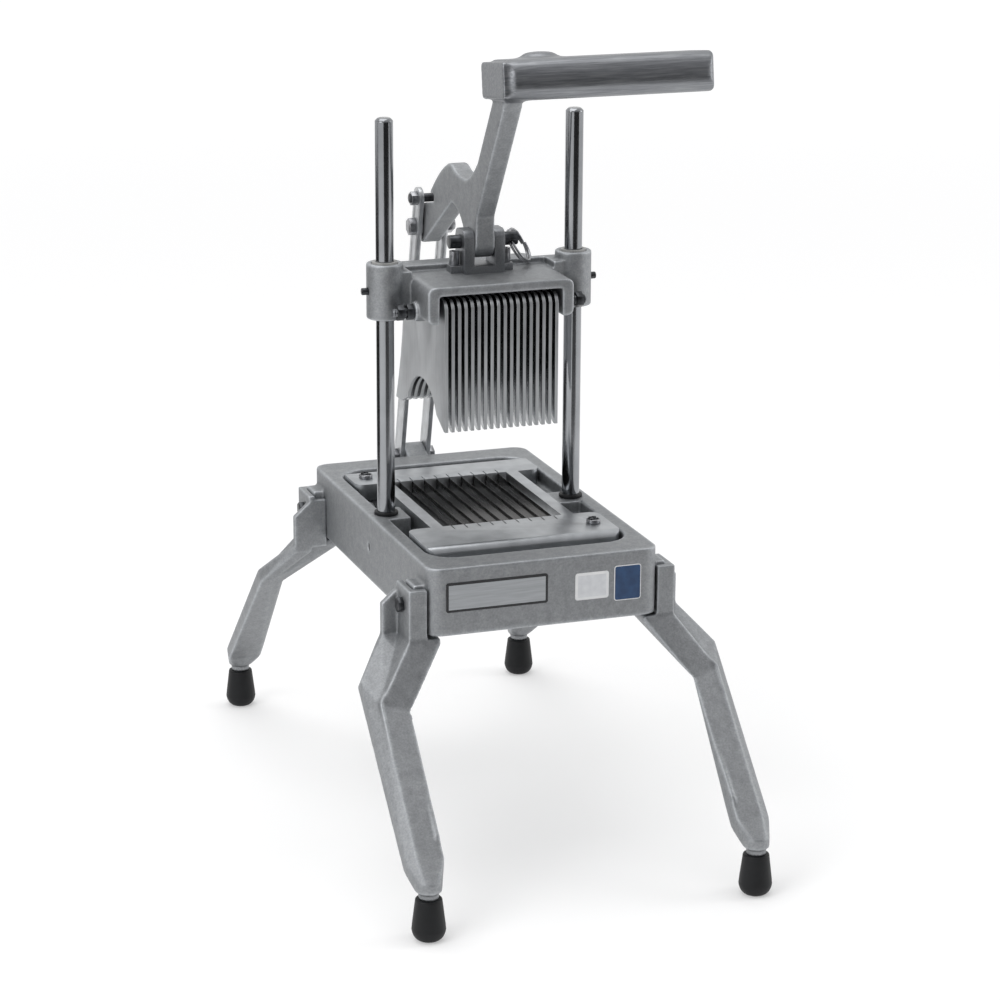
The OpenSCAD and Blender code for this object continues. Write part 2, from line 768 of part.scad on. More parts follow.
module clevis() {
    color("#8b8e91") difference() {
        union() {
            slab_x(ear_in, ear_out) ear_outline();
            slab_x(-ear_out, -ear_in) ear_outline();
            block([-ear_out, -ear_front, plate_top], [ear_out, ear_back, plate_top + clevis_floor]);
            block([-ear_out - lug_w, -lug_y, plate_top],
                  [ear_out + lug_w, lug_y, plate_top + clevis_floor]);
        }
        bar_x_at(pivot_r + seat_gap, -ear_out - over, ear_out + over, front_pivot);
        for (s = [-1, 1]) translate([s * clevis_bolt_x, 0, plate_top - over])
            cylinder(r = clevis_bolt_r + seat_gap, h = clevis_floor + 2 * over);
    }
}

module clevis_screws() {
    head_h = 10;
    color("#6b6e71") for (s = [-1, 1]) translate([s * clevis_bolt_x, 0, plate_top + clevis_floor]) {
        translate([0, 0, -clevis_floor - plate_t + 0.5])
            cylinder(r = clevis_bolt_r, h = clevis_floor + plate_t);
        difference() {
            cylinder(r = 3.6, h = head_h);
            translate([0, 0, head_h - 2.5]) cylinder(r = 2, h = 3, $fn = 6);
        }
    }
}

pin_head_r = 4.8;
pin_head_l = 12;
ring_r = ring_d / 2;
ring_x = ear_out + pin_head_l / 2 + 1;
ring_sag = ring_r - sqrt(ring_r * ring_r - pin_head_r * pin_head_r);

module clevis_pin() {
    color("#3a3c3f") difference() {
        union() {
            bar_x_at(pivot_r, -ear_out - 8, ear_out + 1, front_pivot);
            bar_x_at(pin_head_r, ear_out, ear_out + pin_head_l, front_pivot);
        }
        translate([ring_x, 0, front_pivot[1]]) rotate([ring_turn - 90, 0, 0])
            cylinder(r = ring_wire / 2 + ring_sag + side_gap, h = 2 * (pin_head_r + over), center = true);
    }
}

// Pull ring threaded through the pin's head, hanging down to the side
module pull_ring() {
    color("#4a4c4f") translate([ring_x, 0, front_pivot[1]]) rotate([ring_turn, 0, 0])
        rotate([0, ring_slope, 0]) translate([ring_r, 0, 0])
            rotate_extrude() translate([ring_r, 0]) circle(d = ring_wire);
}

// Lever casting: grip, arm, humped web and two pivot eyes, in [y, z] from the front pivot
hump = [0.42 * tail_reach, 33];
hump_r = 13.5;
tail = [tail_reach, -tail_drop];
arm_dir = [-sin(arm_lean), cos(arm_lean)];
arm_back = arm_t * [cos(arm_lean), sin(arm_lean)];
web_back = [18, 7];
arm_foot = eye_r / sin(arm_lean);
valley = [0.27 * hump[0], 41];
grip_at = arm_len * arm_dir + [grip_d / 2 - 1.5, 3.5];
stop_slot = [-21, 4];

// A straight band between two circles, one with each radius
module band(a, ra, b, rb) {
    u = (b - a) / norm(b - a);
    n = [-u[1], u[0]];
    translate(a) circle(ra);
    translate(b) circle(rb);
    polygon([a + ra * n, b + rb * n, b - rb * n, a - ra * n]);
}

module lever_outline() {
    circle(eye_r);
    polygon([[-eye_r, 0], arm_foot * arm_dir, arm_len * arm_dir, arm_len * arm_dir + arm_back,
             0.38 * arm_len * arm_dir + arm_back, web_back, [eye_r, 0]]);
    polygon(concat(
        [arm_foot * arm_dir],
        curve(0.4 * arm_len * arm_dir + arm_back, valley - [8, 1], valley + [4, 0], 5),
        curve(valley + [4, 0], hump + [-14, 8], hump + [-6, hump_r - 1.4], 5),
        [hump],
        curve(hump - [0, hump_r], [hump[0] - 19, hump[1] - hump_r], web_back, 6)));
    polygon(concat(
        curve(hump + [0, hump_r], hump + [17, 10.5], hump + 0.62 * (tail - hump) + [2.7, 14.3], 6),
        [tail, hump]));
    band(hump, hump_r, tail, eye_r);
}

// Grip bar with its plain end block, along x through the head of the arm
block_x = -10;
block_w = 12;
grip_end_r = 7;
swell_x = 27;
swell_r = 12;
swell_h = 2.5;

module grip() {
    translate([0, grip_at[0], front_pivot[1] + grip_at[1]]) rotate([-grip_tilt, 0, 0]) {
        intersection() {
            slab_x(block_x + block_w / 2, block_x + grip_len) translate([-3, 0])
                round_rect(grip_d, grip_h, grip_r);
            translate([block_x + grip_len / 2, -3, -grip_h]) linear_extrude(2 * grip_h)
                round_rect(grip_len, grip_d, grip_end_r);
        }
        slab_x(block_x, block_x + block_w) translate([-1, 0]) round_rect(grip_d - 4, grip_h - 3, 3);
        translate([swell_x, grip_d / 2 - swell_r - 6, 0]) cylinder(r = swell_r, h = grip_h / 2 + swell_h);
    }
}

module lever() {
    color("#a6a9ab") difference() {
        union() {
            slab_x(-lever_w / 2, lever_w / 2) translate(front_pivot) lever_outline();
            slab_x(-ear_in + side_gap, ear_in - side_gap) translate(front_pivot) circle(eye_r);
            grip();
        }
        bar_x_at(pivot_r + run_gap, -lever_w, lever_w, front_pivot);
        bar_x_at(link_bolt_r + run_gap, -lever_w, lever_w, rear_pivot);
        slab_x(-lever_w, lever_w)
            band(stop_pivot, stop_d / 2 + side_gap + 0.1, stop_pivot + stop_slot, stop_d / 2);
    }
}

// Link bars from the eye on the base up to the lever's tail, with a stop bolt on top
module link(side) {
    x = side == "left" ? -link_out : link_in;
    color("#b9bcbe") difference() {
        slab_x(x, x + link_t) {
            for (p = [foot_pivot, stop_pivot]) translate(p) circle(link_w / 2 + 0.4);
            translate(foot_pivot) rotate(link_lean) translate([-link_w / 2, 0])
                square([link_w, link_len + stop_rise]);
        }
        for (p = [foot_pivot, rear_pivot]) bar_x_at(link_bolt_r + seat_gap, x - over, x + link_t + over, p);
        bar_x_at(stop_d / 2 + seat_gap, x - over, x + link_t + over, stop_pivot);
    }
}

bolt_head_t = 5;

// Shoulder bolt of the rear pivot and its nut
module link_bolt() {
    color("#7d7a70") {
        bar_x_at(link_bolt_r, -link_out - 0.5, link_out + nut_t + 2, rear_pivot);
        bar_x_at(link_bolt_r + 2.5, -link_out - bolt_head_t, -link_out, rear_pivot, 6);
    }
}

module link_nut() {
    color("#6e6c64") difference() {
        bar_x_at(link_bolt_r + 2.5, link_out, link_out + nut_t, rear_pivot, 6);
        bar_x_at(link_bolt_r + seat_gap, link_out - over, link_out + nut_t + over, rear_pivot);
    }
}

module link_washers() {
    color("#8e9193") for (s = [0, 1]) mirror([s, 0, 0]) difference() {
        bar_x_at(link_bolt_r + 3.5, link_in - washer_t, link_in, rear_pivot);
        bar_x_at(link_bolt_r + seat_gap, link_in - washer_t - over, link_in + over, rear_pivot);
    }
}

// Stop bolt across the tops of the links, which the raised lever leans on
module stop_bolt() {
    color("#3f4144") bar_x_at(stop_d / 2, -link_out - nut_t - 1, link_out + nut_t + 1, stop_pivot);
}

module stop_nuts() {
    color("#55574f") for (s = [0, 1]) mirror([s, 0, 0]) difference() {
        bar_x_at(stop_d / 2 + 2, link_out, link_out + nut_t, stop_pivot, 6);
        bar_x_at(stop_d / 2 + seat_gap, link_out - over, link_out + nut_t + over, stop_pivot);
    }
}

// Pin in the base's eye, and the short bolts that stand in the feet of the links
module base_pivot_pin() {
    color("#6b6e71") bar_x_at(link_bolt_r, -eye_w / 2, eye_w / 2, foot_pivot);
}

module link_foot_bolts() {
    color("#55574f") for (s = [0, 1]) mirror([s, 0, 0]) {
        bar_x_at(link_bolt_r, link_in, link_out + 0.5, foot_pivot);
        bar_x_at(link_bolt_r + 2.5, link_out, link_out + bolt_head_t, foot_pivot, 6);
    }
}

base_frame();
leg_bolts();
rod_set_screws();
blade_frame();
blades();
hold_down_screws();
base_pivot_pin();
for (e = ends, s = sides) {
    quarter(e, s) leg();
    quarter(e, s) foot();
}
for (s = sides) {
    quarter("rear", s) guide_rod();
    quarter("rear", s) bumper();
    quarter("rear", s) bushing();
    link(s);
}
carriage();
bushing_screws();
fin_rod(-fin_rod_y);  // fin_rod_front
fin_rod(fin_rod_y);  // fin_rod_rear
fin_spacers();
fin_rod_nuts();
clevis();
clevis_screws();
clevis_pin();
pull_ring();
for (i = [1:fin_n]) {
    fin(i);
}
lever();
link_bolt();
link_nut();
link_washers();
stop_bolt();
stop_nuts();
link_foot_bolts();
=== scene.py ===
import json
import math

import bmesh
import bpy
from mathutils import Matrix, Vector

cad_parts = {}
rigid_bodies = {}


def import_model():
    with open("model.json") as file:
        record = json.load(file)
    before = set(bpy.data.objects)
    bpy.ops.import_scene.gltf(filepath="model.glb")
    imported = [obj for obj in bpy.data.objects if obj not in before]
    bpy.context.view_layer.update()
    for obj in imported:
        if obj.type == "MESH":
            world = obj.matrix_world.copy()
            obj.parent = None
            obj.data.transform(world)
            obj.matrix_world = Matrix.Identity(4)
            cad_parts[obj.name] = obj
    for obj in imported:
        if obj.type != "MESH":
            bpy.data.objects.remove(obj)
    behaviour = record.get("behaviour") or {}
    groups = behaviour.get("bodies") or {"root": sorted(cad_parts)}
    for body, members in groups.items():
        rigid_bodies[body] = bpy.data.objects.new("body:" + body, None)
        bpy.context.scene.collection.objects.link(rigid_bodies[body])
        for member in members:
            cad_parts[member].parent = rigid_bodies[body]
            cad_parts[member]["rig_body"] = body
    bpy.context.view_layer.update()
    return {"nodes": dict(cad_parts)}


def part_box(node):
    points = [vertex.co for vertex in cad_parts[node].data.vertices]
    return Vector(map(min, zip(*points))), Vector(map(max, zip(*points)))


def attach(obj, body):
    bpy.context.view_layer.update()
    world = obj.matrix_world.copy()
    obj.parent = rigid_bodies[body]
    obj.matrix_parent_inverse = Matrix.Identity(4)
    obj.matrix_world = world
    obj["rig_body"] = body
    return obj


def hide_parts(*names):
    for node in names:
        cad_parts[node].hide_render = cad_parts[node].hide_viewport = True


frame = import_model()

# Base: a sand-cast aluminium box, open below, that carries the rods, the legs and the
# blade frame. It is tumbled in stone chips after casting, so every edge is soft.
MM = 0.001
BASE_VOXEL = 1.0 * MM
BASE_PASSES = 7
BASE_KEPT = 0.5
SKIN_PATCH = 6 * MM
SKIN_GRAIN = 1.3 * MM
SKIN_PIT = 3.2 * MM
SKIN_DEPTH = 0.15 * MM


def linear(code):
    """Turns an sRGB hex colour into linear RGBA."""
    parts = [int(code[i:i + 2], 16) / 255 for i in (1, 3, 5)]
    return [p / 12.92 if p <= 0.04045 else ((p + 0.055) / 1.055) ** 2.4 for p in parts] + [1]


def add(tree, kind, values=None, links=None, stops=None, **settings):
    """Adds a node with its settings, socket values, incoming links and colour stops."""
    node = tree.nodes.new(kind)
    for name, value in settings.items():
        setattr(node, name, value)
    for name, value in (values or {}).items():
        node.inputs[name].default_value = value
    for name, source in (links or {}).items():
        tree.links.new(source, node.inputs[name])
    for i, (place, colour) in enumerate(stops or []):
        ramp = node.color_ramp.elements
        stop = ramp[i] if i < 2 else ramp.new(place)
        stop.position = place
        stop.color = linear(colour)
    return node


def new_finish(name):
    """Starts a material, and gives it with its node tree and its shader."""
    finish = bpy.data.materials.new(name)
    finish.use_nodes = True
    return finish, finish.node_tree, finish.node_tree.nodes["Principled BSDF"]


def baked(piece):
    """Turns a piece's modifiers into its mesh."""
    bpy.context.view_layer.update()
    shaped = piece.evaluated_get(bpy.context.evaluated_depsgraph_get())
    mesh = bpy.data.meshes.new_from_object(shaped)
    piece.modifiers.clear()
    piece.data = mesh
    return piece


def copy_of(node):
    """A copy of a CAD node with its split corners joined, and nothing on it yet."""
    piece = bpy.data.objects.new(node + "_made", frame["nodes"][node].data.copy())
    bpy.context.scene.collection.objects.link(piece)
    shell = bmesh.new()
    shell.from_mesh(piece.data)
    bmesh.ops.remove_doubles(shell, verts=shell.verts, dist=0.002 * MM)
    shell.to_mesh(piece.data)
    shell.free()
    return piece


def cast(piece, voxel, passes, kept):
    """A casting: remeshed in small cells and smoothed, which rounds edges and fills corners.

    Of the faces that the cells make, the kept share stays.
    """
    cells = piece.modifiers.new("cells", "REMESH")
    cells.mode = "VOXEL"
    cells.voxel_size = voxel
    tumbling = piece.modifiers.new("tumbling", "SMOOTH")
    tumbling.factor = 0.5
    tumbling.iterations = passes
    thinning = piece.modifiers.new("thinning", "DECIMATE")
    thinning.ratio = kept
    baked(piece).data.shade_smooth()
    return piece


def fit(piece, node, finish):
    """Puts a finish on a piece, which then stands for a CAD node and rides on its body."""
    piece.data.materials.clear()
    piece.data.materials.append(finish)
    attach(piece, frame["nodes"][node]["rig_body"])
    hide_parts(node)
    return piece


# Tumbled cast aluminium: a satin grey metal, mottled where the sand left its skin. Its edges are
# painted brighter, partly as rubbed wear and partly as painted highlight, and its corners are
# painted darker as painted shade. The grain is drawn coarse to show.
cast_aluminium, tree, skin = new_finish("tumbled_cast_aluminium")
place = add(tree, "ShaderNodeTexCoord").outputs["Object"]
patches = add(tree, "ShaderNodeTexNoise",
              {"Scale": 1 / SKIN_PATCH, "Detail": 5.0, "Roughness": 0.62}, {"Vector": place})
grain = add(tree, "ShaderNodeTexNoise",
            {"Scale": 1 / SKIN_GRAIN, "Detail": 2.0, "Roughness": 0.7}, {"Vector": place})
pits = add(tree, "ShaderNodeTexVoronoi", {"Scale": 1 / SKIN_PIT}, {"Vector": place})
tone = add(tree, "ShaderNodeValToRGB", links={"Fac": patches.outputs["Fac"]},
           stops=[(0.3, "#96989a"), (0.7, "#a9abad")])
speckle = add(tree, "ShaderNodeValToRGB", links={"Fac": grain.outputs["Fac"]},
              stops=[(0.3, "#d2d3d5"), (0.7, "#ffffff")])
speckled = add(tree, "ShaderNodeMix", {0: 0.6},
               {6: tone.outputs["Color"], 7: speckle.outputs["Color"]},
               data_type="RGBA", blend_type="MULTIPLY")
edge = add(tree, "ShaderNodeNewGeometry").outputs["Pointiness"]
# From pointiness: edges painted brighter, as wear and as painted highlight; hollows and corners
# painted darker, as painted shade.
edge_wear_and_painted_light = add(tree, "ShaderNodeValToRGB", links={"Fac": edge},
             stops=[(0.42, "#7b7d80"), (0.5, "#bcbcbc"), (0.56, "#f6f7f8")])
worn_and_painted_light = add(tree, "ShaderNodeMix", {0: 0.75},
           {6: speckled.outputs[2], 7: edge_wear_and_painted_light.outputs["Color"]},
           data_type="RGBA", blend_type="OVERLAY")
tree.links.new(worn_and_painted_light.outputs[2], skin.inputs["Base Color"])
skin.inputs["Metallic"].default_value = 1.0
gloss = add(tree, "ShaderNodeMapRange", {"To Min": 0.48, "To Max": 0.64},
            {"Value": patches.outputs["Fac"]})
tree.links.new(gloss.outputs["Result"], skin.inputs["Roughness"])
relief = add(tree, "ShaderNodeBump", {"Strength": 0.35, "Distance": SKIN_DEPTH},
             {"Height": grain.outputs["Fac"]})
dents = add(tree, "ShaderNodeBump", {"Strength": 0.25, "Distance": SKIN_DEPTH},
            {"Height": pits.outputs["Distance"], "Normal": relief.outputs["Normal"]})
tree.links.new(dents.outputs["Normal"], skin.inputs["Normal"])

fit(cast(copy_of("base_frame"), BASE_VOXEL, BASE_PASSES, BASE_KEPT), "base_frame", cast_aluminium)

# Legs: four castings in two mirrored pairs, each joined from convex lumps given in mm for the
# rear right one: a bracket on the base's pad, a thigh, a shin and a toe. A ridge runs down the
# thigh and the shin, between a flat front face and an outer side that slopes away.
LEG_VOXEL = 0.9 * MM
LEG_PASSES = 8
LEG_KEPT = 0.7
SHIN_LEAN = math.radians(46.8)
KNEE_Y, KNEE_Z = 128, 142
ANKLE = 137
FOOT_X, FOOT_Y = 117, 238
ENDS = ("front", "rear")
SIDES = ("left", "right")
CORNERS = [f"{end}_{side}" for end in ENDS for side in SIDES]


def on_shin(x, along, depth):
    """A spot at a distance down the shin from the knee and at a depth in front of its middle."""
    c, s = math.cos(SHIN_LEAN), math.sin(SHIN_LEAN)
    return (x, KNEE_Y + depth * c + along * s, KNEE_Z + depth * s - along * c)


def block(x0, x1, y0, y1, z0, z1):
    """Corners of an upright block."""
    return [(x, y, z) for x in (x0, x1) for y in (y0, y1) for z in (z0, z1)]


def disc(radius, z0, z1):
    """Rims of a round piece on the axis of the foot."""
    turns = [math.pi * i / 16 for i in range(32)]
    return [(FOOT_X + radius * math.cos(t), FOOT_Y + radius * math.sin(t), z) for t in turns
            for z in (z0, z1)]


def bead(*spots):
    """Corners of a slim bead between two spots."""
    return [corner for x, y, z in spots
            for corner in block(x - 1, x + 1, y - 1, y + 1, z - 1, z + 1)]


def made(name, shell):
    """Turns a finished shell into a piece of the scene, with its faces turned outwards."""
    bmesh.ops.recalc_face_normals(shell, faces=shell.faces)
    mesh = bpy.data.meshes.new(name)
    shell.to_mesh(mesh)
    shell.free()
    piece = bpy.data.objects.new(name, mesh)
    bpy.context.scene.collection.objects.link(piece)
    return piece


ridge_top = (101.2, 127.9, 158.8)
ridge_knee = on_shin(122.2, 23, 11.3)
ridge_low = on_shin(122.9, 136, 8)
outer_knee = [on_shin(129.8, 0, -6.5), on_shin(129.8, 0, 4), on_shin(121, -1, -6.5)]
inner_knee = [on_shin(102.5, 30, 11), on_shin(104.5, 30, 9), on_shin(110, 9, -2.3),
              on_shin(112, 9, -4)]
ankle = [on_shin(129.7, ANKLE, -6.5), on_shin(129.7, ANKLE, 3), on_shin(122.9, ANKLE, 8),
         on_shin(104.3, ANKLE, 7.5), on_shin(104.3, ANKLE, -6.5)]
rib = [(x, y, z) for y in (105, 110.5)
       for x, z in ((83.6, 166.5), (108, 166.5), (108, 191), (95, 202.5), (83.6, 202.5))]
flange = block(83.6, 96.6, 129.5, 135, 167.5, 205.5)
web = block(91.8, 96.6, 106, 134, 167.5, 205.5)
thigh_side = block(94.6, 107.7, 105.2, 110.3, 163.5, 169.5) + outer_knee + [ridge_top, ridge_knee]
thigh = (block(74, 96.4, 107, 134.8, 166, 170.4) + inner_knee
         + [outer_knee[2], ridge_top, ridge_knee])
shin = outer_knee + inner_knee + ankle + [ridge_knee, ridge_low]
lip = [on_shin(103.4, 66, 9.4), on_shin(105.4, 66, 9.4), on_shin(104.2, 122, 9.6),
       on_shin(107.6, 122, 9.6), on_shin(106.5, ANKLE + 5, 4), on_shin(106, 100, 4)]
LEG_LUMPS = [rib, flange, web, thigh_side, thigh, shin, bead(ridge_top, ridge_knee),
             bead(ridge_knee, on_shin(121.5, ANKLE + 8, 3.5)), lip, ankle + disc(8.9, 34, 41),
             disc(6.9, 29, 38), disc(5, 9, 30)]

for corner in CORNERS:
    end, side = corner.split("_")
    mirror = Vector((1 if side == "right" else -1, 1 if end == "rear" else -1, 1)) * MM
    shell = bmesh.new()
    for lump in LEG_LUMPS:
        spots = [shell.verts.new(Vector(spot) * mirror) for spot in lump]
        hull = bmesh.ops.convex_hull(shell, input=spots)
        bmesh.ops.delete(shell, geom=hull["geom_interior"], context="VERTS")
    fit(cast(made(f"leg_{corner}_made", shell), LEG_VOXEL, LEG_PASSES, LEG_KEPT), "leg_" + corner,
        cast_aluminium)

# Leg bolts: four hex bolts, blackened steel, screwed into the pads through the legs.
# Their heads are chamfered and their corners catch a thin line of light.
BOLT_EDGE = 0.45 * MM
OXIDE_PATCH = 4 * MM
RELIEF_DEPTH = 0.1 * MM


def machined_copy(node, edge_width, rings=2, angle=35):
    """A turned or milled part: a copy of a CAD node with a small round on every sharp edge."""
    piece = copy_of(node)
    shell = bmesh.new()
    shell.from_mesh(piece.data)
    bmesh.ops.dissolve_limit(shell, angle_limit=math.radians(0.5), verts=shell.verts,
                             edges=shell.edges)
    shell.to_mesh(piece.data)
    shell.free()
    rounding = piece.modifiers.new("rounding", "BEVEL")
    rounding.width = edge_width
    rounding.segments = rings
    rounding.limit_method = "ANGLE"
    rounding.angle_limit = math.radians(angle)
    baked(piece).data.shade_smooth()
    piece.data.set_sharp_from_angle(angle=math.radians(angle))
    return piece


def patchy(name, dark, light, patch, gloss, stops=(0.35, 0.65), detail=4.0, blur=0.5, metal=1.0,
           stretch=(1, 1, 1), relief=0):
    """A finish that wanders between two tones and two roughnesses over patches of one size.

    The patches can be drawn out along an axis, and can stand up as a slight relief.
    """
    finish, tree, skin = new_finish(name)
    place = add(tree, "ShaderNodeTexCoord").outputs["Object"]
    drawn = add(tree, "ShaderNodeMapping", {"Scale": stretch}, {"Vector": place})
    patches = add(tree, "ShaderNodeTexNoise",
                  {"Scale": 1 / patch, "Detail": detail, "Roughness": blur},
                  {"Vector": drawn.outputs["Vector"]}).outputs["Fac"]
    tone = add(tree, "ShaderNodeValToRGB", links={"Fac": patches},
               stops=[(stops[0], dark), (stops[1], light)])
    tree.links.new(tone.outputs["Color"], skin.inputs["Base Color"])
    skin.inputs["Metallic"].default_value = metal
    rough = add(tree, "ShaderNodeMapRange", {"To Min": gloss[0], "To Max": gloss[1]},
                {"Value": patches})
    tree.links.new(rough.outputs["Result"], skin.inputs["Roughness"])
    if relief:
        bump = add(tree, "ShaderNodeBump", {"Strength": relief, "Distance": RELIEF_DEPTH},
                   {"Height": patches})
        tree.links.new(bump.outputs["Normal"], skin.inputs["Normal"])
    return finish


# Blackened steel: a thin dark oxide over a turned surface, with oily patches and low gloss.
black_steel = patchy("blackened_steel", "#3a3b3d", "#55575a", OXIDE_PATCH, (0.25, 0.42), detail=3.0)

fit(machined_copy("leg_bolts", BOLT_EDGE), "leg_bolts", black_steel)

# Feet: moulded black rubber tips pushed onto the legs' studs, widest just above a
# rounded sole. The surface is matt, with a faint bloom from the mould.
FOOT_STEPS = 64
SOLE_SHARE = 0.57
NECK_SHARE = 0.79
FOOT_BELLY = 7.5 * MM
FOOT_LIP = 1.2 * MM
STUD_R = 5.04 * MM
STUD_DEEP = 20.5 * MM
RUBBER_BLOOM = 14 * MM
RUBBER_GRAIN = 0.9 * MM
TURNED_CREASE = 35


def bend(a, b, c, count):
    """Points on a smooth bend from a to c that leans towards b, without the last one."""
    steps = [i / count for i in range(count)]
    return [tuple((1 - t) ** 2 * p + 2 * t * (1 - t) * q + t * t * r for p, q, r in zip(a, b, c))
            for t in steps]


def turned(name, profile, centre, steps, along="Z"):
    """A turned piece: a profile of (radius, distance along the axis) spun round its axis."""
    shell = bmesh.new()
    rows = []
    for radius, rise in profile:
        if radius < 1e-7:
            rows.append([shell.verts.new((0, 0, rise))])
        else:
            turns = [2 * math.pi * i / steps for i in range(steps)]
            rows.append([shell.verts.new((radius * math.cos(t), radius * math.sin(t), rise))
                         for t in turns])
    for low, high in zip(rows, rows[1:]):
        for i in range(steps):
            k = (i + 1) % steps
            corners = [low[i % len(low)], low[k % len(low)],
                       high[k % len(high)], high[i % len(high)]]
            face = list(dict.fromkeys(corners))
            if len(face) > 2:
                shell.faces.new(face)
    turn = Matrix.Rotation(math.radians(90), 4, "Y") if along == "X" else Matrix.Identity(4)
    shell.transform(Matrix.Translation(centre) @ turn)
    piece = made(name, shell)
    piece.data.shade_smooth()
    piece.data.set_sharp_from_angle(angle=math.radians(TURNED_CREASE))
    return piece


# Moulded black rubber: matt, a little cloudy, with a fine grain and a weak sheen.
rubber = patchy("moulded_black_rubber", "#131416", "#1d1e20", RUBBER_BLOOM, (0.42, 0.6),
                stops=(0.35, 0.7), metal=0)
tree = rubber.node_tree
skin = tree.nodes["Principled BSDF"]
skin.inputs["Specular IOR Level"].default_value = 0.3
place = add(tree, "ShaderNodeTexCoord").outputs["Object"]
grain = add(tree, "ShaderNodeTexNoise", {"Scale": 1 / RUBBER_GRAIN, "Detail": 2.0},
            {"Vector": place})
relief = add(tree, "ShaderNodeBump", {"Strength": 0.2, "Distance": RELIEF_DEPTH},
             {"Height": grain.outputs["Fac"]})
tree.links.new(relief.outputs["Normal"], skin.inputs["Normal"])

for corner in CORNERS:
    low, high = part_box("foot_" + corner)
    wide, tall = (high.x - low.x) / 2, high.z - low.z
    outline = [(0, 0.8 * MM), (4 * MM, 0.8 * MM), (5 * MM, 0)]
    outline += bend((SOLE_SHARE * wide, 0), (0.93 * wide, 1.6 * MM), (wide, FOOT_BELLY), 8)
    outline += bend((wide, FOOT_BELLY), (wide - 0.2 * MM, 9 * MM), (0.97 * wide, 11 * MM), 4)
    outline += [(0.97 * wide, 11 * MM)]
    outline += bend((NECK_SHARE * wide, tall - FOOT_LIP), (NECK_SHARE * wide, tall),
                    (NECK_SHARE * wide - FOOT_LIP, tall), 4)
    outline += [(NECK_SHARE * wide - FOOT_LIP, tall), (STUD_R, tall), (STUD_R, tall - STUD_DEEP),
                (0, tall - STUD_DEEP)]
    middle = Vector(((low.x + high.x) / 2, (low.y + high.y) / 2, low.z))
    fit(turned(f"foot_{corner}_made", outline, middle, FOOT_STEPS), "foot_" + corner,
        rubber)

# Guide rods: two ground and polished steel bars with chamfered tops, pressed into the
# base's posts. They are mirror-smooth, so they show long streaks of the room.
ROD_STEPS = 96
ROD_CHAMFER = 1.8 * MM
GRIND_PATCH = 30 * MM
ground_steel = patchy("ground_steel", "#8a8c8f", "#9a9c9f", GRIND_PATCH, (0.1, 0.17),
                      stops=(0.3, 0.7), detail=3.0)

for side in SIDES:
    low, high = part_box("guide_rod_" + side)
    wide, tall = (high.x - low.x) / 2, high.z - low.z
    outline = [(0, 0), (wide, 0), (wide, tall - ROD_CHAMFER - 0.4 * MM)]
    outline += bend((wide, tall - ROD_CHAMFER - 0.4 * MM), (wide, tall - ROD_CHAMFER),
                    (wide - 0.4 * MM, tall - ROD_CHAMFER + 0.4 * MM), 3)
    outline += [(wide - ROD_CHAMFER + 0.3 * MM, tall - 0.3 * MM),
                (wide - ROD_CHAMFER - 0.2 * MM, tall), (0, tall)]
    middle = Vector(((low.x + high.x) / 2, (low.y + high.y) / 2, low.z))
    fit(turned(f"guide_rod_{side}_made", outline, middle, ROD_STEPS), "guide_rod_" + side,
        ground_steel)

# Bumpers: rubber rings round the feet of the rods that stop the carriage softly.
# They are cut from the same black rubber as the feet, with rounded rims.
BUMPER_ROUND = 0.9 * MM
for side in SIDES:
    low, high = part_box("bumper_" + side)
    rod_low, rod_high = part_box("guide_rod_" + side)
    wide, tall = (high.x - low.x) / 2, high.z - low.z
    bore = (rod_high.x - rod_low.x) / 2 + 0.04 * MM
    outline = [(bore, 0), (wide - 0.6 * MM, 0), (wide, 0.6 * MM)]
    outline += bend((wide, tall - BUMPER_ROUND), (wide, tall), (wide - BUMPER_ROUND, tall), 5)
    outline += [(wide - BUMPER_ROUND, tall), (bore, tall), (bore, 0)]
    middle = Vector(((low.x + high.x) / 2, (low.y + high.y) / 2, low.z))
    fit(turned(f"bumper_{side}_made", outline, middle, FOOT_STEPS), "bumper_" + side,
        rubber)

# Rod set screws: two small grub screws in the sides of the base, sunk below its face.
# Only their blackened ends show in the holes.
fit(machined_copy("rod_set_screws", 0.3 * MM), "rod_set_screws", black_steel)

# Blade frame: two broad aluminium bars with rounded noses, joined by side rails and
# slotted for the blades. It is machined and left bright, with lines along the bars.
FRAME_EDGE = 0.35 * MM
MILL_LINE = 1.1 * MM
bright_aluminium, tree, skin = new_finish("bright_machined_aluminium")
place = add(tree, "ShaderNodeTexCoord").outputs["Object"]
lines = add(tree, "ShaderNodeMapping", {"Scale": (0.03, 1, 1)}, {"Vector": place})
milling = add(tree, "ShaderNodeTexNoise", {"Scale": 1 / MILL_LINE, "Detail": 3.0},
              {"Vector": lines.outputs["Vector"]})
smear = add(tree, "ShaderNodeTexNoise", {"Scale": 1 / (16 * MM), "Detail": 4.0}, {"Vector": place})
tone = add(tree, "ShaderNodeValToRGB", links={"Fac": smear.outputs["Fac"]},
           stops=[(0.35, "#a5a8ab"), (0.65, "#b9bcbf")])
tree.links.new(tone.outputs["Color"], skin.inputs["Base Color"])
skin.inputs["Metallic"].default_value = 1.0
gloss = add(tree, "ShaderNodeMapRange", {"To Min": 0.3, "To Max": 0.44},
            {"Value": milling.outputs["Fac"]})
tree.links.new(gloss.outputs["Result"], skin.inputs["Roughness"])
relief = add(tree, "ShaderNodeBump", {"Strength": 0.08, "Distance": 0.05 * MM},
             {"Height": milling.outputs["Fac"]})
tree.links.new(relief.outputs["Normal"], skin.inputs["Normal"])

fit(machined_copy("blade_frame", FRAME_EDGE), "blade_frame", bright_aluminium)
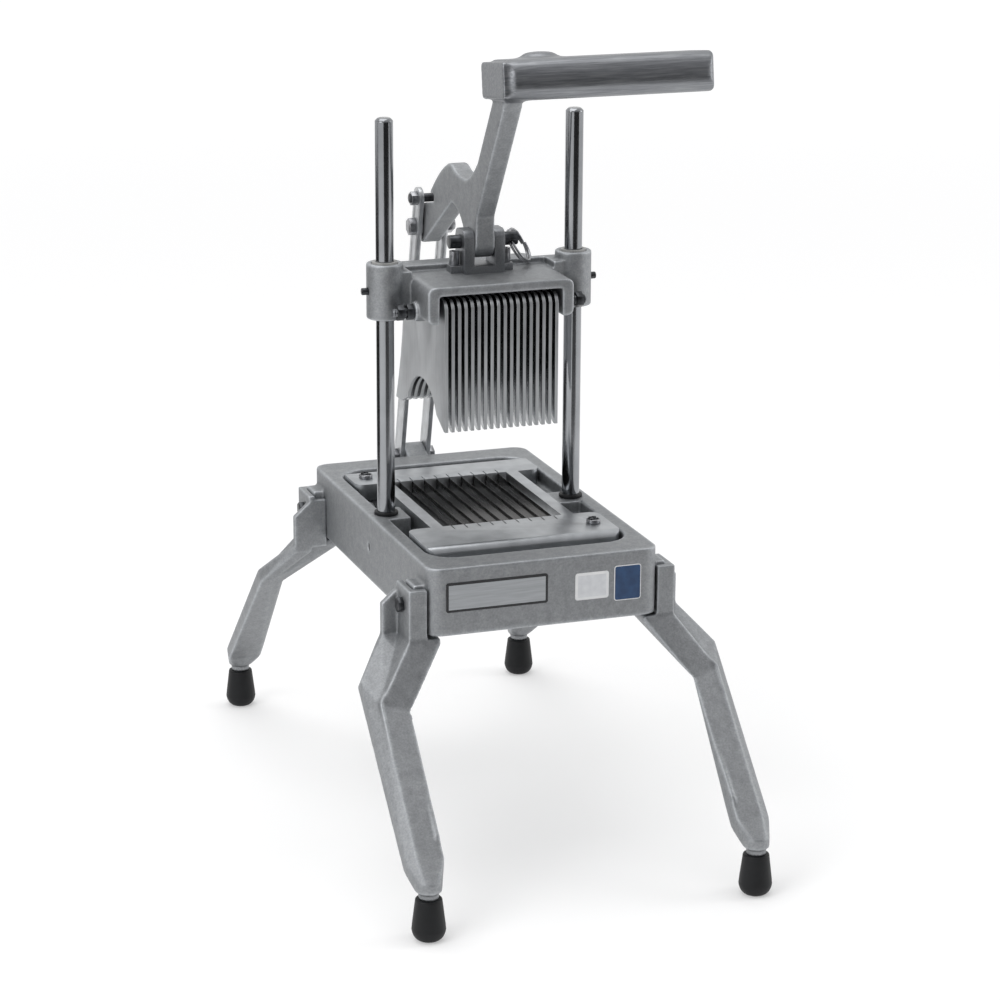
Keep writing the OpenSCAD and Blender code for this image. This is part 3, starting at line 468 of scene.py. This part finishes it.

# Blades: straight strips of hardened stainless steel standing on edge in the frame's slots, each
# ground from both faces to a fine edge along its top. Their near-black tone is painted shade, for
# the deep throat they stand in.
GROUND_DEEP = 2.6 * MM
EDGE_HALF = 0.05 * MM
BLADE_HALF = 0.3 * MM
BLADE_COUNT = 9
BLADE_LINE = 1.5 * MM
# The near-black tones are painted shade, not the steel's own colour.
blade_steel_painted_dark = patchy("hardened_blade_steel_painted_shade", "#2c2b2a", "#3d3b39", BLADE_LINE, (0.18, 0.34),
                     stops=(0.3, 0.7), detail=3.0, stretch=(1, 0.05, 1))

low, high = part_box("blades")
pitch = (high.x - low.x - 2 * BLADE_HALF) / (BLADE_COUNT - 1)
section = [(-BLADE_HALF, low.z), (BLADE_HALF, low.z), (BLADE_HALF, high.z - GROUND_DEEP),
           (EDGE_HALF, high.z), (-EDGE_HALF, high.z), (-BLADE_HALF, high.z - GROUND_DEEP)]
shell = bmesh.new()
for i in range(BLADE_COUNT):
    across = low.x + BLADE_HALF + i * pitch
    rows = [[shell.verts.new((across + x, y, z)) for x, z in section] for y in (low.y, high.y)]
    for k in range(len(section)):
        n = (k + 1) % len(section)
        shell.faces.new((rows[0][k], rows[0][n], rows[1][n], rows[1][k]))
    shell.faces.new(rows[0])
    shell.faces.new(rows[1])
fit(made("blades_made", shell), "blades", blade_steel_painted_dark)

# Hold-down screws: two pan-head screws, plain steel, that clamp the blade frame to its shelf at
# opposite corners. Each has a socket in its head, painted dark with the blackened finish as painted
# shade in the recess.
SOCKET_RIM = 2.3 * MM
SOCKET_DEEP = 1.2 * MM
STAIN_PATCH = 2.5 * MM
dull_steel = patchy("plain_turned_steel", "#88898c", "#a8a9ac", STAIN_PATCH, (0.22, 0.4))

screws = fit(machined_copy("hold_down_screws", 0.5 * MM), "hold_down_screws", dull_steel)
screws.data.materials.append(black_steel)
shell = bmesh.new()
shell.from_mesh(screws.data)
top = max(vert.co.z for vert in shell.verts)
heads = [face for face in shell.faces if face.calc_center_median().z > top - 0.01 * MM]
bmesh.ops.inset_individual(shell, faces=heads, thickness=SOCKET_RIM)
walls = bmesh.ops.inset_individual(shell, faces=heads, thickness=0.05 * MM, depth=-SOCKET_DEEP)
# The socket's floor and walls take the blackened finish: painted shade in the recess.
for face in heads + walls["faces"]:
    face.material_index = 1
shell.to_mesh(screws.data)
shell.free()

# Base pivot pin: a short plain pin in the eye at the rear of the base.
fit(machined_copy("base_pivot_pin", 0.4 * MM), "base_pivot_pin", dull_steel)

# Plates on the front of the base: a thin bare aluminium plate with a printed black
# border, a blank white sticker and a blank dark blue one, each stuck on flat.
PLATE_STEPS = 6
PLATE_SUNK = 0.3 * MM
BRUSH_LINE = 0.9 * MM
silver_plate = patchy("satin_plate_aluminium", "#a0a3a6", "#b2b5b8", BRUSH_LINE, (0.3, 0.45),
                      stops=(0.3, 0.7), detail=3.0, metal=0.5, stretch=(0.04, 1, 1))
black_print = patchy("black_printed_ink", "#1c1d1f", "#28292b", 3 * MM, (0.34, 0.46), detail=3.0,
                     metal=0)
white_vinyl = patchy("white_vinyl", "#eaebec", "#f4f4f4", 8 * MM, (0.32, 0.44), detail=3.0, metal=0)
grey_vinyl = patchy("pale_grey_vinyl", "#d9dbde", "#e4e6e8", 6 * MM, (0.32, 0.44), detail=3.0,
                    metal=0)
blue_vinyl = patchy("dark_blue_vinyl", "#1f3d63", "#284a73", 6 * MM, (0.28, 0.4), detail=3.0,
                    metal=0)


def stuck_plate(name, left, right, low, high, thick, round_r, border, rim, field):
    """A flat plate on the base's front with round corners and a border of another finish."""
    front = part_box("base_frame")[0].y
    shell = bmesh.new()

    def ring(inset, depth):
        r = max(round_r - inset, 0.25 * MM)
        spots = []
        for quarter, (x, z) in enumerate(((right, high), (left, high), (left, low), (right, low))):
            sx, sz = (1 if x == right else -1), (1 if z == high else -1)
            cx, cz = x - sx * (inset + r), z - sz * (inset + r)
            for i in range(PLATE_STEPS + 1):
                turn = math.pi / 2 * (quarter + i / PLATE_STEPS)
                spots.append(shell.verts.new((cx + r * math.cos(turn), depth,
                                              cz + r * math.sin(turn))))
        return spots

    face = front - thick
    loops = [ring(0, front + PLATE_SUNK), ring(0, face + 0.15 * MM), ring(0.15 * MM, face),
             ring(border, face), ring(border + 0.05 * MM, face + 0.02 * MM)]
    for outer, inner in zip(loops, loops[1:]):
        for i in range(len(outer)):
            k = (i + 1) % len(outer)
            shell.faces.new((outer[i], outer[k], inner[k], inner[i])).material_index = 0
    shell.faces.new(loops[-1]).material_index = 1
    shell.faces.new(loops[0]).material_index = 0
    piece = made(name, shell)
    piece.data.materials.append(rim)
    piece.data.materials.append(field)
    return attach(piece, "base")


stuck_plate("bare_plate", -71.5 * MM, 1.5 * MM, 189.3 * MM, 210.1 * MM, 0.5 * MM, 1.6 * MM,
            1.7 * MM, black_print, silver_plate)
stuck_plate("blank_white_sticker", 21.5 * MM, 46 * MM, 188.3 * MM, 207.6 * MM, 0.25 * MM, 1.8 * MM,
            1.8 * MM, white_vinyl, grey_vinyl)
stuck_plate("blank_blue_sticker", 50 * MM, 69.7 * MM, 185.2 * MM, 210.3 * MM, 0.25 * MM, 2 * MM,
            0.5 * MM, white_vinyl, blue_vinyl)

# Carriage: an aluminium casting that slides on the rods, a channel over the fins with a
# barrel on each side. It is cast and tumbled like the base.
CARRIAGE_VOXEL = 0.8 * MM
CARRIAGE_PASSES = 9
CARRIAGE_KEPT = 0.6
fit(cast(copy_of("carriage"), CARRIAGE_VOXEL, CARRIAGE_PASSES, CARRIAGE_KEPT), "carriage",
    cast_aluminium)

# Bushings: grey bearing plastic sleeves pressed into the barrels, which run on the
# rods. Only their upper rims show.
bearing_plastic = patchy("grey_bearing_plastic", "#929290", "#a2a2a0", 4 * MM, (0.44, 0.56),
                         detail=3.0, metal=0)
for side in SIDES:
    fit(machined_copy("bushing_" + side, 0.3 * MM), "bushing_" + side, bearing_plastic)

# Bushing screws: a black grub screw in the outer side of each barrel, standing a little
# proud, that holds the bushing.
fit(machined_copy("bushing_screws", 0.5 * MM), "bushing_screws", black_steel)

# Fins: eighteen thin cast plates that push the onion between the blades, with a round
# arch and rounded edges. They are rubbed smooth, with faint upright lines.
FIN_COUNT = 18
FIN_EDGE = 1.1 * MM
FIN_LINE = 1.6 * MM
FIN_CLOUD = 22 * MM
FIN_WEAR = 4 * MM
FLAT_SIDE = 0.6
fin_aluminium, tree, skin = new_finish("rubbed_fin_aluminium")
place = add(tree, "ShaderNodeTexCoord").outputs["Object"]
lines = add(tree, "ShaderNodeMapping", {"Scale": (1, 1, 0.06)}, {"Vector": place})
rub = add(tree, "ShaderNodeTexNoise", {"Scale": 1 / FIN_LINE, "Detail": 3.0},
          {"Vector": lines.outputs["Vector"]})
cloud = add(tree, "ShaderNodeTexNoise", {"Scale": 1 / FIN_CLOUD, "Detail": 4.0}, {"Vector": place})
tone = add(tree, "ShaderNodeValToRGB", links={"Fac": cloud.outputs["Fac"]},
           stops=[(0.3, "#b4b6b8"), (0.7, "#c4c6c8")])
shade = add(tree, "ShaderNodeValToRGB", links={"Fac": rub.outputs["Fac"]},
            stops=[(0.3, "#e4e5e6"), (0.7, "#ffffff")])
lined = add(tree, "ShaderNodeMix", {0: 0.7},
            {6: tone.outputs["Color"], 7: shade.outputs["Color"]},
            data_type="RGBA", blend_type="MULTIPLY")
tree.links.new(lined.outputs[2], skin.inputs["Base Color"])
skin.inputs["Metallic"].default_value = 1.0
gloss = add(tree, "ShaderNodeMapRange", {"To Min": 0.36, "To Max": 0.5},
            {"Value": rub.outputs["Fac"]})
tree.links.new(gloss.outputs["Result"], skin.inputs["Roughness"])

# Polished fin sides: smoother than the outer faces and the edges, and painted a little darker than
# them as painted shade between the fins. Deep between the fins the light dies out after a few
# reflections, and near the lower edge it comes through.
fin_sides_painted_shade = patchy("polished_fin_sides_painted_shade", "#a6a8aa", "#b6b8ba", FIN_WEAR, (0.18, 0.28),
                    stops=(0.3, 0.7))

for i in range(1, FIN_COUNT + 1):
    node = f"fin_{i:02d}"
    fin = fit(machined_copy(node, FIN_EDGE, 5), node, fin_aluminium)
    fin.data.materials.append(fin_sides_painted_shade)
    # Sides that face a neighbouring fin take the darker finish: painted shade between the fins.
    for face in fin.data.polygons:
        to_right = face.normal.x > FLAT_SIDE and i < FIN_COUNT
        to_left = face.normal.x < -FLAT_SIDE and i > 1
        face.material_index = 1 if to_right or to_left else 0

# Fin rods: two steel rods through the cheeks and all the fins, threaded at both ends
# for the lock nuts. The thread is drawn as close rings of its own pitch.
THREAD_PITCH = 1.27 * MM
THREAD_DEEP = 0.42 * MM
THREAD_LENGTH = 17 * MM
TIP_CUT = 0.8 * MM
TIP_LONG = 0.5 * MM
LEAD = 0.9 * MM
grey_steel = patchy("bare_grey_steel", "#6e7073", "#86888b", 5 * MM, (0.26, 0.4))


def threaded(radius, start, end):
    """The profile of a rod along its axis, with thread ridges at either end."""
    root = radius - THREAD_DEEP
    outline = [(0, start), (radius - TIP_CUT, start), (root, start + TIP_LONG)]
    along = start + LEAD
    while along < end - LEAD:
        outline += [(radius, along), (radius, along + 0.25 * THREAD_PITCH)]
        if along < start + THREAD_LENGTH or along > end - THREAD_LENGTH:
            outline += [(root, along + 0.6 * THREAD_PITCH)]
            along += THREAD_PITCH
        else:
            along = end - THREAD_LENGTH
            outline += [(radius, along)]
            along += 0.3 * THREAD_PITCH
    return outline + [(root, end - TIP_LONG), (radius - TIP_CUT, end), (0, end)]


for end in ENDS:
    node = "fin_rod_" + end
    low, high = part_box(node)
    middle = Vector((0, (low.y + high.y) / 2, (low.z + high.z) / 2))
    outline = threaded((high.z - low.z) / 2, low.x, high.x)
    fit(turned(node + "_made", outline, middle, 40, "X"), node, grey_steel)

# Fin spacers: rings of plain steel on the fin rods that keep the fins apart.
# They show only as dark rounds deep between the fins.
fit(machined_copy("fin_spacers", 0.2 * MM, 1), "fin_spacers", dull_steel)

# Fin rod nuts: two black hex nuts at each end of each rod, locked against each other
# on the bosses of the cheeks.
fit(machined_copy("fin_rod_nuts", 0.6 * MM), "fin_rod_nuts", black_steel)

# Clevis: a U bracket of milled steel, screwed to the carriage, whose ears hold the
# lever's pin. It is bead blasted, so it is even and matt.
BLAST_GRAIN = 1.1 * MM
CLEVIS_EDGE = 0.9 * MM
clevis_steel = patchy("blasted_steel", "#808285", "#989a9d", BLAST_GRAIN, (0.36, 0.5),
                      stops=(0.3, 0.7), detail=3.0, blur=0.7, relief=0.2)

fit(machined_copy("clevis", CLEVIS_EDGE, 3), "clevis", clevis_steel)

# Clevis screws: two socket-head screws, plain steel, through the lugs of the clevis.
fit(machined_copy("clevis_screws", 0.4 * MM), "clevis_screws", dull_steel)

# Clevis pin: the lever's quick-release pin, blackened, with a round head that the pull
# ring goes through.
fit(machined_copy("clevis_pin", 0.6 * MM, 3), "clevis_pin", black_steel)

# Pull ring: a split ring of plain spring wire, wound twice round, threaded through the
# head of the pin and hanging to the side.
RING_R = 12.7 * MM
RING_X = 22 * MM
RING_TURN = 40
RING_SLOPE = 45
WIRE_R = 0.9 * MM
STRAND_OFF = 1.05 * MM
RING_STEPS = 144
WIRE_STEPS = 12
pin_low, pin_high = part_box("clevis_pin")
hang = (Matrix.Translation((RING_X, (pin_low.y + pin_high.y) / 2, (pin_low.z + pin_high.z) / 2))
        @ Matrix.Rotation(math.radians(RING_TURN), 4, "X")
        @ Matrix.Rotation(math.radians(RING_SLOPE), 4, "Y")
        @ Matrix.Translation((RING_R, 0, 0)))
shell = bmesh.new()
rows = []
for i in range(RING_STEPS + 1):
    share = i / RING_STEPS
    turn = 4 * math.pi * share + math.radians(35)
    side_step = (2 * min(max((share - 0.44) / 0.12, 0), 1) - 1) * STRAND_OFF
    row = []
    for k in range(WIRE_STEPS):
        roll = 2 * math.pi * k / WIRE_STEPS
        reach = RING_R + WIRE_R * math.cos(roll)
        row.append(shell.verts.new((reach * math.cos(turn), reach * math.sin(turn),
                                    side_step + WIRE_R * math.sin(roll))))
    rows.append(row)
for one, two in zip(rows, rows[1:]):
    for k in range(WIRE_STEPS):
        n = (k + 1) % WIRE_STEPS
        shell.faces.new((one[k], one[n], two[n], two[k]))
shell.faces.new(rows[0])
shell.faces.new(rows[-1])
shell.transform(hang)
ring = made("pull_ring_made", shell)
ring.data.shade_smooth()
ring.data.set_sharp_from_angle(angle=math.radians(60))
fit(ring, "pull_ring", dull_steel)

# Lever: one aluminium casting with the grip, the arm, a humped web and two pivot eyes.
# The grip is belt-polished along its length and rubbed soft where it leaves the arm and on the
# swelling behind. The rest is tumbled like the base.
LEVER_VOXEL = 0.8 * MM
LEVER_PASSES = 12
LEVER_KEPT = 0.6
GRIP_REACH = 30 * MM
POLISH_LINE = 1.3 * MM
SWELL = Vector((27, -43.2, 541)) * MM
SWELL_R = 17 * MM
SWELL_RISE = 2.4 * MM
NECK_BOX = ((-7.5, -95, 500), (13, -66, 600))
SWELL_BOX = ((6, -60, 534), (48, -25, 600))
RUBS = 50
grip_aluminium = patchy("belt_polished_aluminium", "#74767a", "#9a9c9f", POLISH_LINE, (0.32, 0.48),
                        stops=(0.3, 0.7), blur=0.65, stretch=(0.05, 1, 1), relief=0.15)

lever = fit(cast(copy_of("lever"), LEVER_VOXEL, LEVER_PASSES, LEVER_KEPT), "lever", cast_aluminium)
lever.data.materials.append(grip_aluminium)
grip_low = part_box("lever")[1].z - GRIP_REACH
for vert in lever.data.vertices:
    off = (vert.co - SWELL).xy.length / SWELL_R
    if off < 1 and vert.co.z > SWELL.z:
        vert.co.z += SWELL_RISE * (1 - off ** 2) ** 2
shell = bmesh.new()
shell.from_mesh(lever.data)
for low, high in (NECK_BOX, SWELL_BOX):
    near = [vert for vert in shell.verts
            if all(a * MM < c < b * MM for a, c, b in zip(low, vert.co, high))]
    for i in range(RUBS):
        bmesh.ops.smooth_vert(shell, verts=near, factor=0.5, use_axis_x=True, use_axis_y=True,
                              use_axis_z=True)
shell.to_mesh(lever.data)
shell.free()
for face in lever.data.polygons:
    if face.center.z > grip_low:
        face.material_index = 1

# Links: two flat bars of bright zinc-plated steel behind the base, from the eye on the
# base up to the lever's tail.
LINK_EDGE = 0.5 * MM
PLATING_PATCH = 9 * MM
zinc_plate = patchy("zinc_plated_steel", "#b0b2b4", "#c6c8ca", PLATING_PATCH, (0.28, 0.42))

for side in SIDES:
    fit(machined_copy("link_" + side, LINK_EDGE), "link_" + side, zinc_plate)

# Link bolts: the shoulder bolt of the rear pivot with its nut and washers, the stop
# bolt above it with its nuts, and the short bolts in the feet of the bars.
BOLT_FINISHES = (("link_bolt", dull_steel, "dull_steel"), ("link_nut", dull_steel, "dull_steel"),
                 ("link_washers", dull_steel, "ground_steel"),
                 ("stop_bolt", black_steel, "black_steel"), ("stop_nuts", dull_steel, "dull_steel"),
                 ("link_foot_bolts", dull_steel, "dull_steel"))
for node, finish, slot in BOLT_FINISHES:
    fit(machined_copy(node, BOLT_EDGE), node, finish)

# Floor: a plain white sheet under the machine. It takes the lamps' light and shadow, and
# glows to white, more so far from the lamps, where the camera or a shiny surface looks at it.
FLOOR_HALF = 6
NEAR_GLOW = 0.32
FAR_GLOW = 0.58


def sheet(name, corners):
    """A flat four-cornered sheet."""
    mesh = bpy.data.meshes.new(name)
    mesh.from_pydata(corners, [], [(0, 1, 2, 3)])
    piece = bpy.data.objects.new(name, mesh)
    bpy.context.scene.collection.objects.link(piece)
    return piece


floor = sheet("floor", [(x * FLOOR_HALF, y * FLOOR_HALF, 0)
                        for x, y in ((-1, -1), (1, -1), (1, 1), (-1, 1))])
white_sheet = bpy.data.materials.new("white_sheet")
white_sheet.use_nodes = True
tree = white_sheet.node_tree
tree.nodes.clear()
matt = add(tree, "ShaderNodeBsdfDiffuse", {"Color": linear("#d8d8d8")})
rays = add(tree, "ShaderNodeLightPath").outputs
seen = add(tree, "ShaderNodeMath", links={0: rays["Is Camera Ray"], 1: rays["Is Glossy Ray"]},
           operation="MAXIMUM")
shown = add(tree, "ShaderNodeMath", links={0: seen.outputs[0], 1: rays["Is Transmission Ray"]},
            operation="MAXIMUM")
place = add(tree, "ShaderNodeTexCoord").outputs["Object"]
away = add(tree, "ShaderNodeVectorMath", links={0: place}, operation="LENGTH")
lift = add(tree, "ShaderNodeMapRange", {"From Min": 0.7, "From Max": 4.0, "To Min": NEAR_GLOW,
                                        "To Max": FAR_GLOW}, {"Value": away.outputs["Value"]})
level = add(tree, "ShaderNodeMath", links={0: shown.outputs[0], 1: lift.outputs["Result"]},
            operation="MULTIPLY")
glow = add(tree, "ShaderNodeEmission", {"Color": (1, 1, 1, 1)}, {"Strength": level.outputs[0]})
both = add(tree, "ShaderNodeAddShader", links={0: matt.outputs[0], 1: glow.outputs[0]})
add(tree, "ShaderNodeOutputMaterial", links={"Surface": both.outputs[0]})
floor.data.materials.append(white_sheet)

# Room and lamps: a white studio that is brightest overhead and behind and greyer towards
# the camera, a large soft lamp at upper left, a weaker one at right and one overhead.
world = bpy.data.worlds.new("studio")
bpy.context.scene.world = world
world.use_nodes = True
tree = world.node_tree
tree.nodes.clear()
heading = add(tree, "ShaderNodeTexCoord").outputs["Generated"]
front = add(tree, "ShaderNodeVectorMath", {1: (-0.25, -0.97, 0.0)}, {0: heading},
            operation="DOT_PRODUCT")
spread = add(tree, "ShaderNodeMapRange", {"From Min": -1.0, "From Max": 1.0},
             {"Value": front.outputs["Value"]})
walls = add(tree, "ShaderNodeValToRGB", links={"Fac": spread.outputs["Result"]},
            stops=[(0.25, "#f2f2f2"), (0.85, "#a8a8aa")])
rays = add(tree, "ShaderNodeLightPath").outputs
backdrop = add(tree, "ShaderNodeMix", {7: (1, 1, 1, 1)},
               {0: rays["Is Camera Ray"], 6: walls.outputs["Color"]}, data_type="RGBA")
sky = add(tree, "ShaderNodeBackground", {"Strength": 1.0}, {"Color": backdrop.outputs[2]})
add(tree, "ShaderNodeOutputWorld", links={"Surface": sky.outputs[0]})

AIM = Vector((0, 0, 0.28))
LAMPS = (("soft_left", (-1.7, -0.9, 1.5), 1.2, 1.6, 16),
         ("soft_right", (1.9, -0.4, 1.1), 0.7, 1.5, 8),
         ("soft_top", (-0.2, 0.3, 2.2), 1.6, 1.6, 14))
for name, spot, width, height, power in LAMPS:
    lamp = bpy.data.lights.new(name, "AREA")
    lamp.shape = "RECTANGLE"
    lamp.size = width
    lamp.size_y = height
    lamp.energy = power
    stand = bpy.data.objects.new(name, lamp)
    stand.location = spot
    stand.rotation_euler = (AIM - Vector(spot)).to_track_quat("-Z", "Y").to_euler()
    bpy.context.scene.collection.objects.link(stand)

# Flags: dark cards that only shiny surfaces see, one upright far in front and two flat
# on the floor. They give the rods their dark streaks and the front faces their depth.
FLAT = 0.002
FLAGS = (("front_flag", 0.05, ((-0.75, -1.6, 0), (1.45, -1.6, 0), (1.45, -1.6, 0.74),
                               (-0.75, -1.6, 0.74))),
         ("front_floor_flag", 0.14, ((-0.35, -1.75, FLAT), (0.75, -1.75, FLAT), (0.75, -0.9, FLAT),
                                     (-0.35, -0.9, FLAT))),
         ("rear_floor_flag", 0.04, ((-0.42, 0.91, FLAT), (-1.27, 2.72, FLAT), (-2.99, 0.26, FLAT),
                                    (-1.0, 0.09, FLAT))))
for name, tone, corners in FLAGS:
    flag = sheet(name, corners)
    flag.visible_camera = flag.visible_diffuse = flag.visible_shadow = False
    flag.visible_transmission = flag.visible_volume_scatter = False
    card = bpy.data.materials.new(name + "_card")
    card.use_nodes = True
    tree = card.node_tree
    tree.nodes.clear()
    tint = add(tree, "ShaderNodeEmission", {"Strength": tone})
    add(tree, "ShaderNodeOutputMaterial", links={"Surface": tint.outputs[0]})
    flag.data.materials.append(card)

# Camera: where the photograph was taken from, two metres in front of the machine, a
# little to the left and above it, through a long lens.
SPOT = Vector((-0.715985, -2.061581, 0.865111))
YAW, PITCH, ROLL = 0.3411, -0.2859, 0.0045
LENS = 114.09
ahead = Vector((math.sin(YAW) * math.cos(PITCH), math.cos(YAW) * math.cos(PITCH), math.sin(PITCH)))
level_right = Vector((math.cos(YAW), -math.sin(YAW), 0))
level_up = level_right.cross(ahead)
right = level_right * math.cos(ROLL) + level_up * math.sin(ROLL)
up = level_up * math.cos(ROLL) - level_right * math.sin(ROLL)
camera_data = bpy.data.cameras.new("camera")
camera_data.lens = LENS
camera_data.sensor_width = 36
camera = bpy.data.objects.new("camera", camera_data)
camera.matrix_world = Matrix.Translation(SPOT) @ Matrix((right, up, -ahead)).transposed().to_4x4()
bpy.context.scene.collection.objects.link(camera)
bpy.context.scene.camera = camera
bpy.context.scene.view_settings.view_transform = "Standard"
